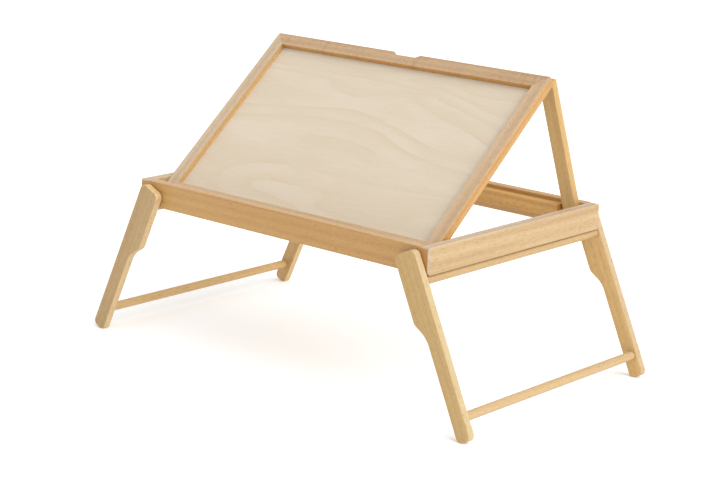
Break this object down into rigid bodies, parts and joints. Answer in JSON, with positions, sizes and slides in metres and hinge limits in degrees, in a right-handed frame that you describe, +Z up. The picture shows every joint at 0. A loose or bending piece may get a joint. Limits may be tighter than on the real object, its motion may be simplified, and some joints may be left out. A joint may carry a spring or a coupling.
{
  "type": "folding tray table",
  "caption": "Wooden folding tray table: rimmed frame on splayed folding leg sets, with a framed plywood board that tilts up on prop struts.",
  "frame": {"origin": "centre of the footprint on the floor", "axes": "+X along the long side, -Y towards the user, +Z up"},
  "size_m": [0.791, 0.448, 0.4769],
  "materials": {
    "beech": "satin clear-oiled solid wood",
    "plywood": "satin birch-faced plywood",
    "steel": "zinc-plated"
  },
  "bodies": {
    "frame": {"front_rail": "beech", "back_rail": "beech", "left_end_rail": "beech", "right_end_rail": "beech", "rear_ledge": "beech", "board_rest_left": "beech", "board_rest_right": "beech", "board_hinge_pin_left": "steel", "board_hinge_pin_right": "steel", "corner_dowels_left_front": "beech", "corner_dowels_left_rear": "beech", "corner_dowels_right_front": "beech", "corner_dowels_right_rear": "beech", "leg_pivot_left_front": "steel", "leg_pivot_left_rear": "steel", "leg_pivot_right_front": "steel", "leg_pivot_right_rear": "steel", "leg_washer_left_front": "steel", "leg_washer_left_rear": "steel", "leg_washer_right_front": "steel", "leg_washer_right_rear": "steel"},
    "board": {"board_front_border": "beech", "board_rear_border": "beech", "board_left_border": "beech", "board_right_border": "beech", "plywood_board": "plywood", "board_splines_left_front": "beech", "board_splines_left_rear": "beech", "board_splines_right_front": "beech", "board_splines_right_rear": "beech", "strut_bracket_left": "steel", "strut_bracket_right": "steel", "bracket_screws_left": "steel", "bracket_screws_right": "steel", "strut_pin_left": "steel", "strut_pin_right": "steel"},
    "left_prop": {"prop_strut_left": "beech"},
    "right_prop": {"prop_strut_right": "beech"},
    "left_legs": {"leg_left_front": "beech", "leg_left_rear": "beech", "upper_rod_left": "beech", "lower_rod_left": "beech"},
    "right_legs": {"leg_right_front": "beech", "leg_right_rear": "beech", "upper_rod_right": "beech", "lower_rod_right": "beech"}
  },
  "joints": [
    {"name": "left_leg_fold", "type": "hinge", "parent": "frame", "child": "left_legs", "pos_m": [-0.265, 0, 0.235], "axis": [0, -1, 0], "range_deg": [0, 114]},
    {"name": "right_leg_fold", "type": "hinge", "parent": "frame", "child": "right_legs", "pos_m": [0.265, 0, 0.235], "axis": [0, 1, 0], "range_deg": [0, 114]},
    {"name": "board_tilt", "type": "hinge", "parent": "frame", "child": "board", "pos_m": [0, -0.1655, 0.2525], "axis": [1, 0, 0], "range_deg": [-40.5, 0]},
    {"name": "left_prop_fold", "type": "hinge", "parent": "board", "child": "left_prop", "pos_m": [-0.2615, 0.10621, 0.46313], "axis": [1, 0, 0], "range_deg": [-71, 0]},
    {"name": "right_prop_fold", "type": "hinge", "parent": "board", "child": "right_prop", "pos_m": [0.2615, 0.10621, 0.46313], "axis": [1, 0, 0], "range_deg": [-71, 0]}
  ],
  "couplings": [
    {"joint": "left_prop_fold", "follows": "board_tilt", "ratio": 1.7519},
    {"joint": "right_prop_fold", "follows": "board_tilt", "ratio": 1.7519}
  ]
}
